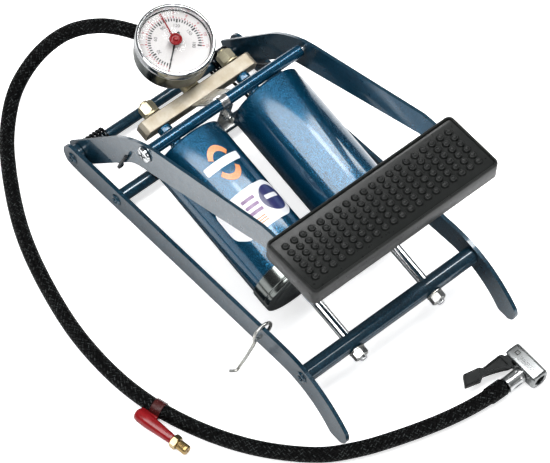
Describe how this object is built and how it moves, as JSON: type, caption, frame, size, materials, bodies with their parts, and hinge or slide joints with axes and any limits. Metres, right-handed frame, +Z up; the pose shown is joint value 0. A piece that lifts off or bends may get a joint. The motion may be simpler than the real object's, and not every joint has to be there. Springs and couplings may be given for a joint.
{
  "type": "double-barrel foot pump",
  "caption": "Foot-operated air pump with two slanted barrels in a folded steel frame, ridged pedal, dial gauge, long hose with a lever-lock valve chuck, and a red clip holding a brass adapter",
  "frame": {"origin": "Centre of the bounding box in X and Y, on the floor plane (the lowest point) in Z", "axes": "+Z up from the floor; the pedal, front tube and valve chuck are towards -Y and the gauge and rear pivot towards +Y; the hose loop and the latch hook are on the -X side"},
  "size_m": [0.2612, 0.4264, 0.152],
  "materials": {
    "blue_paint": "dark blue gloss paint on flat steel bar and tube",
    "blue_lacquer": "metallic blue lacquer with fine flake",
    "chrome": "bright chrome plate",
    "plated_steel": "zinc plated steel, satin",
    "cast_zinc": "warm grey cast zinc alloy, lightly tumbled",
    "spring_wire": "black oiled spring wire",
    "black_rubber": "matt black moulded rubber",
    "black_plastic": "semi-gloss black moulded plastic",
    "hose_cover": "black braided cover over rubber hose",
    "red_plastic": "glossy red moulded plastic",
    "white_dial": "white printed dial face",
    "clear_lens": "clear flat lens",
    "brass": "turned bare brass"
  },
  "bodies": {
    "frame": {"left_rail": "blue_paint", "right_rail": "blue_paint", "left_rear_rivet": "blue_paint", "right_rear_rivet": "blue_paint", "left_tie_rivet": "blue_paint", "right_tie_rivet": "blue_paint", "left_front_rivet": "blue_paint", "right_front_rivet": "blue_paint", "left_return_spring": "spring_wire", "right_return_spring": "spring_wire", "left_pivot_washer": "plated_steel", "right_pivot_washer": "plated_steel", "rear_axle": "blue_paint", "middle_tie_tube": "blue_paint"},
    "lever": {"left_arm": "blue_paint", "right_arm": "blue_paint", "pedal_plate": "blue_paint", "pedal_pad": "black_rubber"},
    "rods": {"front_tube": "blue_paint", "left_rod": "chrome", "right_rod": "chrome", "left_rod_nut": "plated_steel", "right_rod_nut": "plated_steel", "left_piston": "black_plastic", "right_piston": "black_plastic", "left_piston_seal": "black_rubber", "right_piston_seal": "black_rubber"},
    "pump_head": {"left_barrel": "blue_lacquer", "right_barrel": "blue_lacquer", "left_barrel_cap": "chrome", "right_barrel_cap": "chrome", "left_outlet": "blue_lacquer", "right_outlet": "blue_lacquer", "left_banjo_bolt": "cast_zinc", "right_banjo_bolt": "cast_zinc", "left_axle_sleeve": "blue_lacquer", "right_axle_sleeve": "blue_lacquer", "left_axle_screw": "plated_steel", "right_axle_screw": "plated_steel", "head_axle": "chrome", "manifold_bar": "cast_zinc", "tee": "cast_zinc", "centre_bracket": "plated_steel", "hose_crimp": "plated_steel", "gauge_case": "chrome", "gauge_bezel": "chrome", "gauge_dial": "white_dial", "gauge_lens": "clear_lens", "bourdon_tube": "brass"},
    "needle": {"gauge_needle": "black_plastic"},
    "marker": {"gauge_marker": "red_plastic"},
    "hose_line": {"hose": "hose_cover", "chuck_ferrule": "chrome", "valve_chuck": "chrome", "chuck_seal": "black_rubber", "thumb_pin": "plated_steel", "adapter_clip": "red_plastic", "brass_adapter": "brass"},
    "thumb": {"thumb_lever": "black_plastic"},
    "hook": {"latch_hook": "plated_steel"}
  },
  "joints": [
    {"name": "lever_press", "type": "hinge", "parent": "frame", "child": "lever", "pos_m": [0.04862, 0.13431, 0.0098], "axis": [1, 0, 0], "range_deg": [0, 18], "stiffness_Nm_per_rad": 1.5, "springref_deg": -68.75, "deforming": ["left_return_spring", "right_return_spring"]},
    {"name": "rod_swing", "type": "hinge", "parent": "frame", "child": "rods", "pos_m": [0.04862, -0.11669, 0.032], "axis": [1, 0, 0], "range_deg": [-8, 0]},
    {"name": "barrel_slide", "type": "slide", "parent": "rods", "child": "pump_head", "axis": [0, -0.9813, -0.1925], "range_m": [0, 0.0295]},
    {"name": "hose_settle", "type": "hinge", "parent": "pump_head", "child": "hose_line", "pos_m": [0.04862, -0.14564, 0.25506], "axis": [1, 0, 0], "range_deg": [0, 8], "deforming": ["hose"]},
    {"name": "thumb_flip", "type": "hinge", "parent": "hose_line", "child": "thumb", "pos_m": [0.10472, -0.18799, 0.011], "axis": [0, 0, -1], "range_deg": [0, 90]},
    {"name": "hook_swing", "type": "hinge", "parent": "frame", "child": "hook", "pos_m": [-0.02963, -0.07219, 0.0345], "axis": [0, 1, 0], "range_deg": [0, 115]},
    {"name": "needle_turn", "type": "hinge", "parent": "pump_head", "child": "needle", "pos_m": [0.04862, 0.12137, 0.07871], "axis": [0, 0.1925, -0.9813], "range_deg": [0, 262]},
    {"name": "marker_turn", "type": "hinge", "parent": "pump_head", "child": "marker", "pos_m": [0.04862, 0.12137, 0.07871], "axis": [0, 0.1925, -0.9813], "range_deg": [-142, 119]}
  ],
  "couplings": [
    {"joint": "rod_swing", "follows": "lever_press", "ratio": -0.41157},
    {"joint": "barrel_slide", "follows": "lever_press", "m_per_rad": 0.092511},
    {"joint": "hose_settle", "follows": "lever_press", "ratio": 0.41157}
  ]
}
